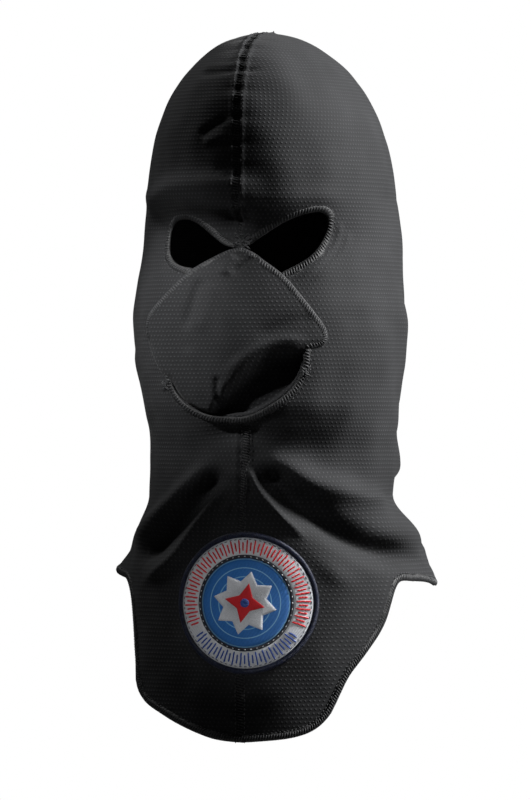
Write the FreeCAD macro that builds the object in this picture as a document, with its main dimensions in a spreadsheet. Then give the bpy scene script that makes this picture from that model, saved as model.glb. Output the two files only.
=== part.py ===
"""Balaclava with a liftable face flap, worn on the head.

Units are millimetres. +Z points up and the face looks towards -Y, so +X is the wearer's left.
The origin is the middle of the head inside the hood, at the height of the eyes.

Every cloth layer lies between two nested forms. A form is a closed loft through horizontal
ellipses, and each form is the hood's outer face moved in or out by one distance of the sheet.
"""
import FreeCAD, Part
import math
import os
import Sketcher
from FreeCAD import Placement, Rotation, Vector

os.makedirs("parts", exist_ok=True)
doc = FreeCAD.newDocument("Balaclava")

# ---------------------------------------------------------------- driving dimensions

# Horizontal sections of the hood's outer face: level, half width, front and back positions.
SECTIONS = {
    "brow": (27, 73, -87, 98),
    "bridge": (3, 76.5, -80, 97),
    "nose": (-21, 79, -84, 94),
    "cheek": (-45, 81.5, -87, 89),
    "lip": (-69, 79.5, -88, 83),
    "chin": (-93, 76, -88, 77),
    "throat": (-108, 74.5, -82, 75),
    "neck": (-125, 74, -75, 74),
    "collar": (-150, 73, -75, 76),
    "slope": (-166, 79, -76, 88),
    "yoke": (-182, 87, -77, 102),
    "shoulder": (-198, 94, -78, 113),
    "bibtop": (-216, 97, -78, 119),
    "bibend": (-306, 100, -77, 125),
}

# How far each form lies outside the hood's outer face.
FORMS = {
    "label_stitch_face": -3.2,
    "label_face": -2.6,
    "lining_inside": -2.0,
    "lining_outside": -1.1,
    "hood_face": 0,
    "seam_face": 0.7,
    "trim_face": 1.0,
    "flap_inside": 1.6,
    "flap_middle": 2.4,
    "flap_face": 3.6,
    "flap_trim": 4.4,
}

SIZES = {
    "crown_level": 126.6,
    "crown_middle": -3,
    "edge_width": 5,
    "seam_width": 6,
    "eye_tip_across": 54,
    "eye_tip_up": 20,
    "eye_right_across": -32.5,
    "eye_right_radius": 15.2,
    "mouth_across": -3,
    "mouth_down": -62,
    "mouth_radius": 42,
    "hem_level": -198,
    "bib_bottom": -298,
    "bib_half_width": 86,
    "badge_across": 3,
    "badge_down": -213,
    "badge_radius": 41.5,
    "border_width": 3,
    "tick_ring_radius": 28.5,
    "field_radius": 26.5,
    "star_radius": 19,
    "needle_radius": 10,
    "hub_radius": 2.5,
    "flap_tip_down": -4,
    "tack_width": 9,
    "tack_height": 7,
    "label_width": 32,
    "label_drop": 22,
    "label_level": -160,
}

# The dome above the brow: how high each section lies, as a share of the dome's height.
DOME_STEPS = (0.3, 0.5, 0.66, 0.79, 0.89, 0.95, 0.985, 0.998)

# The bib is divided evenly between its top and bottom sections.
BIB_STEPS = (0.2, 0.4, 0.6, 0.8)

sheet = doc.addObject("Spreadsheet::Sheet", "Sizes")
row_count = 0


def put_in_sheet(alias, number):
    """Adds one named number to the sheet."""
    global row_count
    row_count += 1
    sheet.set(f"A{row_count}", alias)
    sheet.set(f"B{row_count}", str(number))
    sheet.setAlias(f"B{row_count}", alias)


for place, (level, half_width, front, back) in SECTIONS.items():
    put_in_sheet(f"{place}_level", level)
    put_in_sheet(f"{place}_half_width", half_width)
    put_in_sheet(f"{place}_front", front)
    put_in_sheet(f"{place}_back", back)
for alias, number in {**FORMS, **SIZES}.items():
    put_in_sheet(alias, number)
doc.recompute()


def size(alias):
    """Reads one number from the sheet."""
    return float(sheet.get(alias))


# ---------------------------------------------------------------- small builders

def add(kind, name, **properties):
    """Adds a helper object and sets its plain properties."""
    made = doc.addObject(kind, name)
    for key, value in properties.items():
        setattr(made, key, value)
    return made


def bind(made, **expressions):
    """Binds properties to sheet expressions; base_x, base_y and base_z place the object."""
    for key, expression in expressions.items():
        if key.startswith("base_"):
            made.setExpression(f".Placement.Base.{key[-1]}", expression)
        else:
            made.setExpression(key, expression)
    return made


def cut(name, base, tool):
    return add("Part::Cut", name, Base=base, Tool=tool)


def common(name, base, tool):
    return add("Part::Common", name, Base=base, Tool=tool)


def join(name, *shapes):
    return add("Part::MultiFuse", name, Shapes=list(shapes))


def box(name, low, high):
    """A helper box between two corners, used only to divide other solids."""
    spans = [top - bottom for bottom, top in zip(low, high)]
    made = add("Part::Box", name, Length=spans[0], Width=spans[1], Height=spans[2])
    made.Placement = Placement(Vector(*low), Rotation())
    return made


# ---------------------------------------------------------------- nested forms of the hood

def ring(form, place, level, half_width, front, back):
    """One horizontal ellipse of a form, its long axis front to back."""
    ellipse = add("Part::Ellipse", f"{form}_{place}")
    ellipse.Placement = Placement(Vector(), Rotation(Vector(0, 0, 1), 90))
    return bind(
        ellipse,
        MajorRadius=f"(({back}) - ({front})) / 2 + Sizes.{form}",
        MinorRadius=f"({half_width}) + Sizes.{form}",
        base_y=f"(({back}) + ({front})) / 2",
        base_z=level,
    )


def dome_ring(form, step):
    """A section of the crown: round from side to side, fuller at the forehead."""
    side = math.sqrt(1 - step ** 2)
    fore = (1 - step ** 4.5) ** (1 / 2.4)
    aft = (1 - step ** 3) ** 0.5
    return ring(
        form,
        f"dome_{round(step * 1000)}",
        f"Sizes.brow_level + {step} * (Sizes.crown_level + Sizes.{form} - Sizes.brow_level)",
        f"Sizes.brow_half_width * {side}",
        f"Sizes.crown_middle + (Sizes.brow_front - Sizes.crown_middle) * {fore}",
        f"Sizes.crown_middle + (Sizes.brow_back - Sizes.crown_middle) * {aft}",
    )


def named_ring(form, place):
    """One of the sections that the sheet names."""
    level = f"Sizes.{place}_level"
    if place == "bibend":
        level += f" + Sizes.{form}"
    return ring(
        form,
        place,
        level,
        f"Sizes.{place}_half_width",
        f"Sizes.{place}_front",
        f"Sizes.{place}_back",
    )


def bib_ring_between(form, step):
    """A section part of the way down the bib."""
    between = [
        f"Sizes.bibtop_{what} + {step} * (Sizes.bibend_{what} - Sizes.bibtop_{what})"
        for what in ("level", "half_width", "front", "back")
    ]
    return ring(form, f"bib_{round(step * 100)}", *between)


def make_form(form):
    """A closed solid inside the hood's outer face, moved out by the form's own distance."""
    rings = [dome_ring(form, step) for step in reversed(DOME_STEPS)]
    rings += [named_ring(form, place) for place in SECTIONS if place != "bibend"]
    rings += [bib_ring_between(form, step) for step in BIB_STEPS]
    rings.append(named_ring(form, "bibend"))
    return add("Part::Loft", f"form_{form}", Sections=rings, Solid=True, Ruled=False)


forms = {name: make_form(name) for name in FORMS}


def layer(name, inside, outside):
    """The closed layer between two forms."""
    return cut(name, forms[outside], forms[inside])


# ---------------------------------------------------------------- outlines seen from the front

def front_sketch(name, edges):
    """A closed outline in the XZ plane. An edge is a line (2 points) or an arc (3 points)."""
    sketch = add("Sketcher::SketchObject", name)
    sketch.Placement = Placement(Vector(), Rotation(Vector(1, 0, 0), 90))
    for points in edges:
        corners = [Vector(across, up, 0) for across, up in points]
        curve = Part.LineSegment(*corners) if len(corners) == 2 else Part.Arc(*corners)
        sketch.addGeometry(curve, False)
    for number, points in enumerate(edges):
        following = (number + 1) % len(edges)
        end = edge_end(sketch, number, points[-1])
        start = edge_end(sketch, following, points[-1])
        sketch.addConstraint(Sketcher.Constraint("Coincident", number, end, following, start))
    return sketch


def edge_end(sketch, number, corner):
    """Which end of a sketch edge lies on a corner: 1 is its start and 2 its end."""
    corner = Vector(*corner, 0)
    start = sketch.getPoint(number, 1)
    return 1 if start.distanceToPoint(corner) < 1e-6 else 2


def prism(name, outline, start, depth):
    """Pushes a front outline through the hood, from y = start towards the front."""
    made = add("Part::Extrusion", name, Base=outline, Solid=True)
    made.DirMode = "Custom"
    made.Dir = Vector(0, -1, 0)
    made.LengthFwd = depth
    made.LengthRev = -start
    return made


def widened(name, outline, distance):
    """The same outline moved outwards, or inwards with a minus sign."""
    made = add("Part::Offset2D", name, Source=outline, Join=0, Fill=False)
    return bind(made, Value=distance)


FACE_FRONT = 130

tip = (size("eye_tip_across"), size("eye_tip_up"))
eye_x, eye_r = size("eye_right_across"), size("eye_right_radius")
mouth_x, mouth_z, mouth_r = size("mouth_across"), size("mouth_down"), size("mouth_radius")
nose_point = (1, -3)
left_lid = (27.5, -18)
left_jaw = (mouth_x + mouth_r, mouth_z)
right_jaw = (mouth_x - mouth_r, mouth_z)
right_lid = (eye_x + 2, 1 - eye_r)
right_brow = (eye_x + 3, eye_r)

opening_outline = front_sketch(
    "opening_outline",
    [
        (nose_point, (30, 12), tip),
        (tip, (51, 2), left_lid),
        (left_lid, left_jaw),
        (left_jaw, (mouth_x, mouth_z - mouth_r), right_jaw),
        (right_jaw, right_lid),
        (right_lid, (eye_x - eye_r, 1), right_brow),
        (right_brow, nose_point),
    ],
)
opening_edge_outline = widened("opening_edge_outline", opening_outline, "Sizes.edge_width")
opening = prism("opening", opening_outline, -20, FACE_FRONT)
opening_with_edge = prism("opening_with_edge", opening_edge_outline, -20, FACE_FRONT)

bib_side = (size("bib_half_width"), size("hem_level") + 4)
bib_shoulder = (size("bib_half_width"), size("hem_level") + 40)
bib_knee = (67, -255)
bib_bottom = size("bib_bottom")
bib_outline = front_sketch(
    "bib_outline",
    [
        ((-bib_side[0], bib_side[1]), (-bib_shoulder[0], bib_shoulder[1])),
        ((-bib_shoulder[0], bib_shoulder[1]), bib_shoulder),
        (bib_shoulder, bib_side),
        (bib_side, bib_knee),
        (bib_knee, (58, -279), (36, -292)),
        ((36, -292), (0, bib_bottom), (-36, -292)),
        ((-36, -292), (-58, -279), (-bib_knee[0], bib_knee[1])),
        ((-bib_knee[0], bib_knee[1]), (-bib_side[0], bib_side[1])),
    ],
)
bib_inner_outline = widened("bib_inner_outline", bib_outline, "-Sizes.edge_width")
bib_prism = prism("bib_prism", bib_outline, -8, FACE_FRONT)
bib_inner_prism = prism("bib_inner_prism", bib_inner_outline, -8, FACE_FRONT)
above_hem = box("above_hem", (-200, -200, size("hem_level")), (200, 300, 200))
hood_extent = join("hood_extent", above_hem, bib_prism)

# ---------------------------------------------------------------- hood panels and linings

LEFT_SIDE = ((0, -200, -400), (200, 300, 200))
RIGHT_SIDE = ((-200, -200, -400), (0, 300, 200))


def hood_half(name, wall, side):
    """One side of a hood layer, trimmed to the hem and opened at the face."""
    trimmed = common(f"{name}_trimmed", wall, hood_extent)
    opened = cut(f"{name}_opened", trimmed, opening)
    return common(name, opened, box(f"{name}_side", *side))


outer_wall = layer("outer_wall", "lining_outside", "hood_face")
lining_wall = layer("lining_wall", "lining_inside", "lining_outside")
trim_wall = layer("trim_wall", "hood_face", "trim_face")
seam_wall = layer("seam_wall", "hood_face", "seam_face")

pieces = {
    "hood_left_panel": hood_half("hood_left_panel", outer_wall, LEFT_SIDE),
    "hood_right_panel": hood_half("hood_right_panel", outer_wall, RIGHT_SIDE),
    "hood_left_lining": hood_half("hood_left_lining", lining_wall, LEFT_SIDE),
    "hood_right_lining": hood_half("hood_right_lining", lining_wall, RIGHT_SIDE),
}

# ---------------------------------------------------------------- overlocked edges

opening_ring = cut("opening_ring", opening_with_edge, opening)
opening_edge = common("opening_edge", opening_ring, trim_wall)
LID_LEVEL = -30
tack_half = size("tack_width") / 2
pieces["eye_edge_left"] = common(
    "eye_edge_left", opening_edge, box("eye_left_space", (tack_half, -200, LID_LEVEL), (200, 0, 60))
)
pieces["eye_edge_right"] = common(
    "eye_edge_right", opening_edge, box("eye_right_space", (-200, -200, LID_LEVEL), (-tack_half, 0, 60))
)
pieces["mouth_edge"] = common(
    "mouth_edge", opening_edge, box("mouth_space", (-200, -200, -150), (200, 0, LID_LEVEL))
)

bib_ring = cut("bib_ring", bib_prism, bib_inner_prism)
below_hem = box("below_hem", (-200, -200, -400), (200, 300, size("hem_level")))
bib_band = common("bib_band", bib_ring, trim_wall)
pieces["bib_hem_edge"] = common("bib_hem_edge", bib_band, below_hem)

hem_slice = box(
    "hem_slice", (-200, -200, size("hem_level")), (200, 300, size("hem_level") + size("edge_width"))
)
hem_band = common("hem_band", hem_slice, trim_wall)
pieces["neck_hem_edge"] = cut("neck_hem_edge", hem_band, bib_inner_prism)

# ---------------------------------------------------------------- flat seams on the centre line

seam_half = size("seam_width") / 2
tack_top = size("tack_height") + nose_point[1]
seam_strips = {
    "forehead_seam": ((-seam_half, -200, tack_top), (seam_half, 0, 200)),
    "back_seam": ((-seam_half, 0, size("hem_level") + size("edge_width")), (seam_half, 300, 200)),
    "chin_seam": (
        (-seam_half, -200, bib_bottom + size("edge_width")),
        (seam_half, 0, mouth_z - mouth_r - size("edge_width")),
    ),
}
for name, corners in seam_strips.items():
    pieces[name] = common(name, seam_wall, box(f"{name}_strip", *corners))

# ---------------------------------------------------------------- thread tacks

tack_space = box("tack_space", (-tack_half, -200, nose_point[1]), (tack_half, 0, tack_top))
bridge_wall = common("bridge_wall", tack_space, trim_wall)
pieces["bridge_tack"] = cut("bridge_tack", bridge_wall, opening)

mouth_tack_places = {"mouth_tack_left": (36, -78), "mouth_tack_right": (-47, -72)}
mouth_tack_size = 4
for name, (across, up) in mouth_tack_places.items():
    out = 1 if across > 0 else -1
    low = min(across + 4 * out, across + 4 * out + mouth_tack_size * out)
    space = box(f"{name}_space", (low, -200, up - 2), (low + mouth_tack_size, 0, up + 2))
    on_face = common(f"{name}_on_face", space, trim_wall)
    pieces[name] = cut(name, on_face, opening_with_edge)

# ---------------------------------------------------------------- round badge on the bib


def disc(name, radius):
    """A round bar from inside the bib towards the front, centred on the badge."""
    made = add("Part::Cylinder", name, Height=FACE_FRONT)
    made.Placement = Placement(Vector(0, -20, 0), Rotation(Vector(1, 0, 0), 90))
    return bind(made, Radius=radius, base_x="Sizes.badge_across", base_z="Sizes.badge_down")


def star(name, points, outer, inner, turn):
    """A pointed star bar, centred on the badge."""
    corners = []
    for number in range(2 * points):
        radius = outer if number % 2 == 0 else inner
        angle = math.radians(turn) + math.pi * number / points
        corners.append((radius * math.sin(angle), radius * math.cos(angle)))
    centre = (size("badge_across"), size("badge_down"))
    corners = [(centre[0] + across, centre[1] + up) for across, up in corners]
    edges = [(corners[k], corners[(k + 1) % len(corners)]) for k in range(len(corners))]
    return prism(name, front_sketch(f"{name}_outline", edges), -20, FACE_FRONT)


border_bar = disc("border_bar", "Sizes.badge_radius")
ring_bar = disc("ring_bar", "Sizes.badge_radius - Sizes.border_width")
tick_bar = disc("tick_bar", "Sizes.tick_ring_radius")
field_bar = disc("field_bar", "Sizes.field_radius")
stitch_bar = disc("stitch_bar", "Sizes.badge_radius - Sizes.border_width - 0.6")
stitch_core = disc("stitch_core", "Sizes.badge_radius - Sizes.border_width - 1.4")
hub_bar = disc("hub_bar", "Sizes.hub_radius")
star_bar = star("star_bar", 8, size("star_radius"), 11, 12)
needle_bar = star("needle_bar", 4, size("needle_radius"), 5.5, 12)

badge_face = layer("badge_face", "trim_face", "flap_inside")
badge_raised = layer("badge_raised", "flap_inside", "flap_middle")
badge_full = layer("badge_full", "hood_face", "flap_middle")


def badge_ring(name, wall, outer_bar, inner_bar):
    """The part of one badge layer between two round or pointed bars."""
    return cut(name, common(f"{name}_outer", wall, outer_bar), inner_bar)


border_raw = badge_ring("badge_border_raw", badge_full, border_bar, ring_bar)
backing_raw = common("badge_backing_raw", trim_wall, ring_bar)
pieces["badge_border"] = cut("badge_border", border_raw, pieces["chin_seam"])
pieces["badge_backing"] = cut("badge_backing", backing_raw, pieces["chin_seam"])
pieces["badge_outer_ring"] = badge_ring("badge_outer_ring", badge_face, ring_bar, tick_bar)
pieces["badge_tick_ring"] = badge_ring("badge_tick_ring", badge_face, tick_bar, field_bar)
pieces["badge_field"] = common("badge_field", badge_face, field_bar)
pieces["badge_star"] = badge_ring("badge_star", badge_raised, star_bar, needle_bar)
pieces["badge_needle"] = badge_ring("badge_needle", badge_raised, needle_bar, hub_bar)
pieces["badge_hub"] = common("badge_hub", badge_raised, hub_bar)
pieces["badge_stitches"] = badge_ring("badge_stitches", badge_raised, stitch_bar, stitch_core)

# ---------------------------------------------------------------- care label inside the nape

label_wall = layer("label_wall", "label_face", "lining_inside")
label_stitch_wall = layer("label_stitch_wall", "label_stitch_face", "label_face")
label_half = size("label_width") / 2
label_bottom = size("label_level")
label_top = label_bottom + size("label_drop")
label_space = box("label_space", (-label_half, 0, label_bottom), (label_half, 200, label_top))
label_stitch_space = box(
    "label_stitch_space", (2 - label_half, 0, label_top - 3), (label_half - 2, 200, label_top - 2)
)
pieces["care_label"] = common("care_label", label_wall, label_space)
pieces["care_label_stitch"] = common("care_label_stitch", label_stitch_wall, label_stitch_space)

# ---------------------------------------------------------------- face flap

flap_top = size("flap_tip_down")
flap_outline = front_sketch(
    "flap_outline",
    [
        ((-4, flap_top), (6, flap_top)),
        ((6, flap_top), (27, -20)),
        ((27, -20), (51, -50)),
        ((51, -50), (51, -60)),
        ((51, -60), (39, -63)),
        ((39, -63), (34, -80)),
        ((34, -80), (-4, -101), (-41, -86)),
        ((-41, -86), (-57, -66), (-61, -43)),
        ((-61, -43), (-28, -14.5), (-4, flap_top)),
    ],
)
flap_inner_outline = widened("flap_inner_outline", flap_outline, "-Sizes.edge_width")
flap_prism = prism("flap_prism", flap_outline, -20, FACE_FRONT)
flap_inner_prism = prism("flap_inner_prism", flap_inner_outline, -20, FACE_FRONT)
flap_ring = cut("flap_ring", flap_prism, flap_inner_prism)

flap_wall = layer("flap_wall", "flap_middle", "flap_face")
flap_lining_wall = layer("flap_lining_wall", "flap_inside", "flap_middle")
flap_trim_wall = layer("flap_trim_wall", "flap_face", "flap_trim")
pieces["flap_panel"] = common("flap_panel", flap_wall, flap_prism)
pieces["flap_lining"] = common("flap_lining", flap_lining_wall, flap_prism)
flap_edge = common("flap_edge", flap_ring, flap_trim_wall)
TAIL_LEVEL = -63
flap_edge_spaces = {
    "flap_edge_left": ((1, -200, TAIL_LEVEL), (200, 0, 20)),
    "flap_edge_right": ((-200, -200, TAIL_LEVEL), (1, 0, 20)),
    "flap_tail_edge": ((-200, -200, -150), (200, 0, TAIL_LEVEL)),
}
for name, corners in flap_edge_spaces.items():
    pieces[name] = common(name, flap_edge, box(f"{name}_space", *corners))

# ---------------------------------------------------------------- check and write

for name, piece in pieces.items():
    piece.Label = name
doc.recompute()

failed = [made.Name for made in doc.Objects if "Invalid" in made.State or "Error" in made.State]
if failed:
    raise SystemExit("objects that did not compute: " + ", ".join(failed))
for name, piece in pieces.items():
    if piece.Shape.isNull() or not piece.Shape.isValid() or piece.Shape.Volume < 0.5:
        raise SystemExit("sub-part without a valid solid: " + name)
for name, piece in sorted(pieces.items()):
    piece.Shape.exportStep(f"parts/{name}.step")
    print(f"{name}: {len(piece.Shape.Solids)} solid(s), {piece.Shape.Volume / 1000:.2f} cm3")
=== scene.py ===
"""Knitted balaclava: the looks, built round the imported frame.

Shapes are worked out in millimetres in the row's frame (+Z up, the face towards -Y, +X the
wearer's left) and turned into metres when a mesh is made. The hood is one curved surface with
its folds pressed in; every edge, seam, stitch line and the badge is laid on that surface.
"""
import math

import bpy
import numpy as np
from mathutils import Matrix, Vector
from mathutils.bvhtree import BVHTree


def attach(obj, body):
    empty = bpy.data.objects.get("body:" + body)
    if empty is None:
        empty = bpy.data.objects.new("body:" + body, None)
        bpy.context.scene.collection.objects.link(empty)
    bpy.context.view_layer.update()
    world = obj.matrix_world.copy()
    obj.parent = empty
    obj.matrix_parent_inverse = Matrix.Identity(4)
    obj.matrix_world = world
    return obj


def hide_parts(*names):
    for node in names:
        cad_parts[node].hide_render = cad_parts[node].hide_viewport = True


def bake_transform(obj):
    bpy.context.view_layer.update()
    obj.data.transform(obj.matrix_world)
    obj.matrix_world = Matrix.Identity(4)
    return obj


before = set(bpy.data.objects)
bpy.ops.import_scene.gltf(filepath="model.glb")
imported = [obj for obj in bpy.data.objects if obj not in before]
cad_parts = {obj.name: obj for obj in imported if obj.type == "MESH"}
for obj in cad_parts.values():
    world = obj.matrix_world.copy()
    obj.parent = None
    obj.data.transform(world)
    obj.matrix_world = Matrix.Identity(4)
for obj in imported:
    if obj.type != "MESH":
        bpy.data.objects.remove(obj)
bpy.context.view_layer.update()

MM = 0.001

# ---------------------------------------------------------------- numbers of the hood's shape

BROW_LEVEL = 27.0
CROWN_LEVEL = 126.5
CROWN_MIDDLE = -3.0
COLLAR_LEVEL = -150.0
HEM_LEVEL = -198.0

# level, half width, front, back of the horizontal sections from brow to hem
SECTIONS = np.array([
    (27, 73, -87, 98),
    (3, 76.5, -80, 97),
    (-21, 79, -84, 94),
    (-45, 81.5, -87, 89),
    (-69, 79.5, -88, 83),
    (-93, 76, -87, 77),
    (-108, 74.5, -81, 75),
    (-125, 74, -74.5, 74),
    (-150, 73, -75, 76),
    (-166, 79, -75.5, 87),
    (-182, 86, -76, 99),
    (-198, 91, -77, 108),
    (-230, 94, -77, 112),
    (-298, 98, -77, 118),
], float)

# (distance from the front seam, level) of the bib's cut edge, on the wearer's left and right
BIB_EDGE_LEFT = np.array([
    (0, -295), (14, -294), (28, -292.5), (40, -289), (47, -284), (51.5, -278.5), (56, -268), (60, -257),
    (66, -249.5), (73, -239), (79, -230), (83, -219), (86, -206), (89, -199.5), (94, -197.5),
], float)
BIB_EDGE_RIGHT = np.array([
    (0, -295), (14, -293.5), (23, -291), (31, -288), (43, -283), (54, -277.5), (63, -273), (69.5, -266.5),
    (72.5, -258), (73.5, -242), (75.5, -224), (79.5, -209), (85.5, -199.5), (94, -197.5),
], float)

ROWS_DOME = 84
ROWS_HEAD = 122
ROWS_SKIRT = 92
COLUMNS_HALF = 150
PANEL_THICK = 1.1
LINING_THICK = 0.9

# ---------------------------------------------------------------- small maths


def smoothstep(low, high, value):
    """0 below low, 1 above high, smooth between them."""
    share = np.clip((value - low) / (high - low), 0, 1)
    return share * share * (3 - 2 * share)


def bell(value, centre, width):
    """1 at the centre, and close to 0 from two widths away."""
    return np.exp(-((value - centre) / width) ** 2)


def monotone(levels, values, at):
    """Smooth interpolation through keys that never overshoots them."""
    order = np.argsort(levels)
    x, y = levels[order], values[order]
    step = np.diff(x)
    slope = np.diff(y) / step
    tangent = np.zeros_like(y)
    same_way = slope[:-1] * slope[1:] > 0
    mean = 2 * slope[:-1] * slope[1:] / np.where(same_way, slope[:-1] + slope[1:], 1)
    tangent[1:-1] = np.where(same_way, mean, 0)
    tangent[0], tangent[-1] = slope[0], slope[-1]
    at = np.clip(at, x[0], x[-1])
    k = np.clip(np.searchsorted(x, at) - 1, 0, len(step) - 1)
    share = (at - x[k]) / step[k]
    s2, s3 = share ** 2, share ** 3
    return (
        y[k] * (2 * s3 - 3 * s2 + 1)
        + y[k + 1] * (3 * s2 - 2 * s3)
        + step[k] * (tangent[k] * (s3 - 2 * s2 + share) + tangent[k + 1] * (s3 - s2))
    )


def curve_through(points, spacing):
    """Points at an even spacing along a smooth curve through given points."""
    keys = np.array(points, float)
    keys = np.vstack([2 * keys[0] - keys[1], keys, 2 * keys[-1] - keys[-2]])
    share = np.linspace(0, 1, 24, endpoint=False)[:, None]
    pieces = [
        0.5 * (2 * b + (c - a) * share + (2 * a - 5 * b + 4 * c - d) * share ** 2
               + (3 * b - a - 3 * c + d) * share ** 3)
        for a, b, c, d in zip(keys, keys[1:], keys[2:], keys[3:])]
    return evenly(np.vstack(pieces + [keys[-2][None]]), spacing)


def evenly(line, spacing):
    """The same line with points at an even spacing."""
    run = np.concatenate([[0], np.cumsum(np.linalg.norm(np.diff(line, axis=0), axis=1))])
    count = max(2, int(round(run[-1] / spacing)) + 1)
    at = np.linspace(0, run[-1], count)
    return np.column_stack([np.interp(at, run, line[:, k]) for k in range(line.shape[1])])


def unit(vectors):
    """Vectors scaled to length 1."""
    return vectors / np.maximum(np.linalg.norm(vectors, axis=-1, keepdims=True), 1e-9)


def distance_to_line(x, z, line):
    """Distance from points to a drawn line, and how far along it the nearest place is."""
    best = np.full(x.shape, 1e9)
    along = np.zeros(x.shape)
    lengths = np.linalg.norm(np.diff(line, axis=0), axis=1)
    total, done = lengths.sum(), 0.0
    for start, end, length in zip(line, line[1:], lengths):
        way = (end - start) / length
        run = np.clip((x - start[0]) * way[0] + (z - start[1]) * way[1], 0, length)
        gap = np.hypot(x - start[0] - way[0] * run, z - start[1] - way[1] * run)
        nearer = gap < best
        best = np.where(nearer, gap, best)
        along = np.where(nearer, (done + run) / total, along)
        done += length
    return best, along


def inside(x, z, outline):
    """Whether points lie inside a closed outline."""
    result = np.zeros(x.shape, bool)
    ends = np.roll(outline, -1, axis=0)
    for (x0, z0), (x1, z1) in zip(outline, ends):
        crosses = (z0 > z) != (z1 > z)
        if z1 != z0:
            result ^= crosses & (x < (x1 - x0) * (z - z0) / (z1 - z0) + x0)
    return result


def soft_noise(a, b, size, seed):
    """A smooth random field of about -1 to 1 with features of one size."""
    draw = np.random.default_rng(seed)
    waves = 7
    total = np.zeros(np.broadcast(a, b).shape)
    for _ in range(waves):
        angle = draw.uniform(0, math.tau)
        pitch = size * draw.uniform(0.7, 1.6)
        shift = draw.uniform(0, math.tau)
        total += np.sin((a * math.cos(angle) + b * math.sin(angle)) * math.tau / pitch + shift)
    return total / (waves / 2)


# ---------------------------------------------------------------- outlines seen from the front

EYE_EDGE_LEFT = np.vstack([
    curve_through([(1.5, -2.5), (5.5, -0.5), (15.5, 6.0), (25, 11.8), (36, 16.6), (44, 18.6)], 1.0),
    curve_through([(46.5, 18.8), (49.4, 16.5), (49.6, 12), (48.3, 5.5), (45, -2.8), (41, -8.3),
                   (35, -13), (26, -18.2)], 1.0),
])
MOUTH_EDGE = curve_through([
    (27, -24), (31, -38), (37, -52), (39.3, -63), (38, -76), (31.5, -87.5), (21, -96), (8, -102.5),
    (-4, -104), (-17, -102.8), (-26, -100), (-35, -94.5), (-42, -86), (-45, -74), (-44, -60),
    (-38, -40), (-31, -22)], 1.0)
EYE_EDGE_RIGHT = curve_through([
    (-30, -15.2), (-37.5, -14), (-44, -10.3), (-47.3, -4.8), (-48.2, 3.5), (-47.3, 10.2), (-44, 13.6),
    (-37.5, 14.8), (-31, 13.3), (-24.4, 9.3), (-16.3, 3.3), (-8, -1.4), (1.5, -2.5)], 1.0)
OPENING = np.vstack([EYE_EDGE_LEFT, MOUTH_EDGE, EYE_EDGE_RIGHT])

FLAP_EDGE_LEFT = curve_through([
    (2.5, -3), (12, -8.5), (27, -19.5), (39.5, -34), (48.5, -46.5), (51.8, -53), (52, -57.5), (49.5, -60.5),
    (44.5, -62), (39.5, -63.5), (36.5, -67)], 1.0)
FLAP_TAIL = curve_through([
    (39.5, -71), (42.5, -80), (37, -92), (25, -103), (10, -110), (-4, -111.5), (-20, -109.5), (-33, -102),
    (-41, -93), (-46.5, -82), (-52, -74.5), (-57, -66), (-60, -58)], 1.0)
FLAP_EDGE_RIGHT = curve_through([
    (-61, -55), (-61.3, -48), (-59, -41.5), (-49, -32.5), (-38, -23), (-28, -15.2), (-17, -9.2),
    (-7, -4.5), (1, -2.8)], 1.0)
FLAP = np.vstack([FLAP_EDGE_LEFT, FLAP_TAIL, FLAP_EDGE_RIGHT])

# ---------------------------------------------------------------- folds of the hood

# (points on the front, width, height): a height above 0 is a ridge and below 0 a valley
FOLDS = [
    ([(8, -127), (32, -138), (52, -146), (69, -153), (86, -163)], 7.5, 5.2),
    ([(7, -130), (21, -140), (33, -153), (52, -169), (70, -180), (86, -188), (98, -194)], 7.0, -10.0),
    ([(3, -131), (11, -146), (24, -162), (40, -178)], 2.6, 4.0),
    ([(14, -160), (30, -178), (52, -196), (70, -206)], 6.0, 1.8),
    ([(-14, -127), (-38, -147), (-64, -168), (-84, -182)], 5.5, 4.6),
    ([(-9, -133), (-32, -156), (-56, -179), (-77, -192)], 5.5, -6.5),
    ([(-7, -140), (-23, -160), (-43, -186), (-70, -204)], 3.4, 3.2),
    ([(-5, -152), (-16, -168), (-24, -180)], 1.9, 1.5),
    ([(-2, -146), (-3, -164), (-10, -184)], 4.5, -1.6),
    ([(-70, 8), (-48, 14), (-27, 13), (-4, 8), (12, 6)], 8.5, -5.5),
    ([(-74, 24), (-46, 33), (-20, 35), (2, 33), (20, 34)], 6.0, 2.8),
    ([(4, 10), (22, 20), (44, 27), (62, 22)], 6.0, 1.4),
    ([(76, -42), (70, -78), (54, -116)], 5.0, 1.5),
    ([(66, -36), (60, -70), (44, -104)], 6.0, -1.2),
    ([(-76, -60), (-70, -92), (-60, -118)], 5.0, 1.2),
    ([(-29, 100), (-16, 100.5), (0, 101.5), (14, 103.5)], 1.5, -1.5),
    ([(-26, 104), (-12, 105), (4, 106)], 1.8, 0.7),
    ([(-25, 63), (-15, 69), (-4, 74)], 2.4, -1.7),
    ([(-22, 58), (-12, 62), (-3, 64)], 2.0, 0.9),
    ([(-14, 43), (-6, 46), (-1, 52)], 1.5, -1.0),
    ([(56, 14), (54, 1), (48, -9), (40, -17), (30, -23)], 1.3, 1.1),
    ([(60, 8), (57, -4), (50, -15), (40, -24)], 1.5, 0.8),
]
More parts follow.
